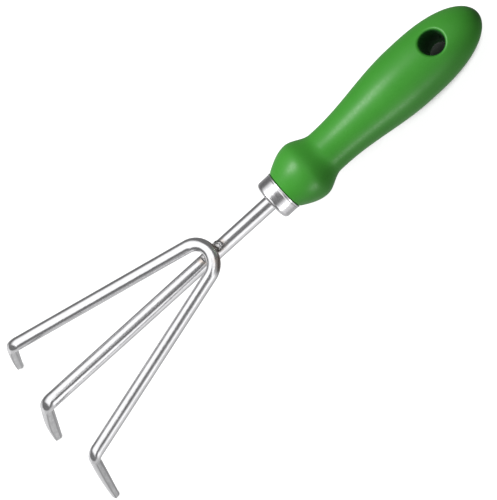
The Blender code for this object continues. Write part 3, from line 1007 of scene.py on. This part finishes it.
def lower_radiance(tree, x, y, z):
    """Below the horizon: pale, brighter towards +X and +Y, dark just under the -Y card."""
    pale = step_node(tree, x, -0.1, 0.55, 0.34, 0.66)
    pale = times(tree, pale, step_node(tree, y, -0.45, -0.70, 1.0, 0.75))
    front = times(tree, step_node(tree, x, 0.55, 0.70), step_node(tree, y, 0.12, -0.08))
    pale = math_node(tree, "MULTIPLY_ADD", front, 0.22, pale)
    side = times(tree, step_node(tree, y, 0.62, 0.9), step_node(tree, x, 0.46, 0.28))
    pale = plus(tree, pale, times(tree, side, 0.40))
    under = times(tree, step_node(tree, y, -0.55, -0.85), step_node(tree, z, -0.55, -0.2))
    return times(tree, pale, step_node(tree, under, 0.0, 1.0, 1.0, 0.3))


def make_world():
    """A white tent with a gap for the camera and dark card low down on two sides.

    Its steps are in x, y and z of the direction in which each part of it lies.
    """
    world = bpy.data.worlds.new("studio")
    bpy.context.scene.world = world
    world.use_nodes = True
    tree = world.node_tree
    background = tree.nodes["Background"]
    direction = tree.nodes.new("ShaderNodeTexCoord").outputs["Generated"]
    x, y, z = split(tree, direction)

    level = step_node(tree, z, -0.12, 0.02)
    upper = times(tree, upper_radiance(tree, x, y, z), level)
    below = math_node(tree, "SUBTRACT", 1.0, level)
    radiance = plus(tree, upper, times(tree, lower_radiance(tree, x, y, z), below))
    # The room behind the camera is dark, under the tent's roof.
    room = times(tree, step_node(tree, x, -0.12, -0.55), step_node(tree, z, 0.72, 0.60))
    radiance = times(tree, radiance, math_node(tree, "MULTIPLY_ADD", room, -0.75, 1.0))
    radiance = math_node(tree, "MAXIMUM", radiance, LEAST_RADIANCE)

    # The tent shows in reflections. Seen directly it is a plain backdrop, and as a fill light
    # it is dim, so that the softboxes do the modelling.
    path = tree.nodes.new("ShaderNodeLightPath")
    fill = step_node(tree, z, -0.6, 0.6, FILL_BELOW, FILL_ABOVE)
    fill = times(tree, fill, step_node(tree, x, -0.9, 0.3, 0.2, 1.0))
    fill = times(tree, fill, step_node(tree, y, 0.4, -0.9, 1.0, 1.8))
    fill = times(tree, fill, step_node(tree, y, 0.35, 0.95, 1.0, 1.9))
    fill = times(tree, fill, path.outputs["Is Diffuse Ray"])
    shown = times(tree, radiance, path.outputs["Is Glossy Ray"])
    strength = plus(tree, plus(tree, fill, shown), path.outputs["Is Camera Ray"])
    link(tree, strength, background.inputs["Strength"])
    background.inputs["Color"].default_value = (0.99, 0.99, 1.0, 1.0)


def make_softbox(name, direction, size, power):
    """A rectangular lamp that faces the tool, and isn't seen by the camera."""
    data = bpy.data.lights.new(name, "AREA")
    data.shape = "RECTANGLE"
    data.size, data.size_y = size
    data.energy = power
    lamp = bpy.data.objects.new(name, data)
    lamp.location = Vector(direction).normalized() * SOFTBOX_DISTANCE
    lamp.rotation_euler = (-lamp.location).to_track_quat("-Z", "Y").to_euler()
    bpy.context.scene.collection.objects.link(lamp)
    lamp.visible_camera = False
    return lamp


def make_lights(lit):
    """The softboxes light these objects only; the polished rods show the tent alone."""
    receivers = bpy.data.collections.new("softbox_receivers")
    for piece in lit:
        receivers.objects.link(piece)
    for name, direction, size, power in SOFTBOXES:
        lamp = make_softbox(name, direction, size, power)
        lamp.light_linking.receiver_collection = receivers


def make_camera():
    data = bpy.data.cameras.new("camera")
    data.lens = CAMERA_LENS
    data.sensor_width = 36.0
    data.clip_start = 0.01
    data.clip_end = 100.0
    camera = bpy.data.objects.new("camera", data)
    aim = (CAMERA_TARGET - CAMERA_PLACE).to_track_quat("-Z", "Y").to_matrix().to_4x4()
    roll = Matrix.Rotation(CAMERA_ROLL, 4, "Z")
    camera.matrix_world = Matrix.Translation(CAMERA_PLACE) @ aim @ roll
    bpy.context.scene.collection.objects.link(camera)
    bpy.context.scene.camera = camera


def main():
    tool = tool_matrix(frame["record"])
    axis = handle_matrix(tool)
    rod_steel = steel_material()
    rear, front = weld_places()
    weld = weld_material()
    make_centre_rod(tool, rod_steel)
    make_fork_rod(tool, rod_steel)
    make_weld("weld_bead_rear", "rear_weld", rear, REAR_WELD_SIZE, 3.1, tool, weld)
    make_weld("weld_bead_front", "front_weld", front, FRONT_WELD_SIZE, 7.4, tool, weld)
    ferrule = make_ferrule(axis, ferrule_material())
    handle = make_handle(tool, axis, handle_material())
    floor = make_floor()
    make_world()
    make_lights([ferrule, handle, floor])
    make_camera()
    bpy.context.scene.view_settings.view_transform = "Standard"
    bpy.context.scene.view_settings.look = "None"


main()
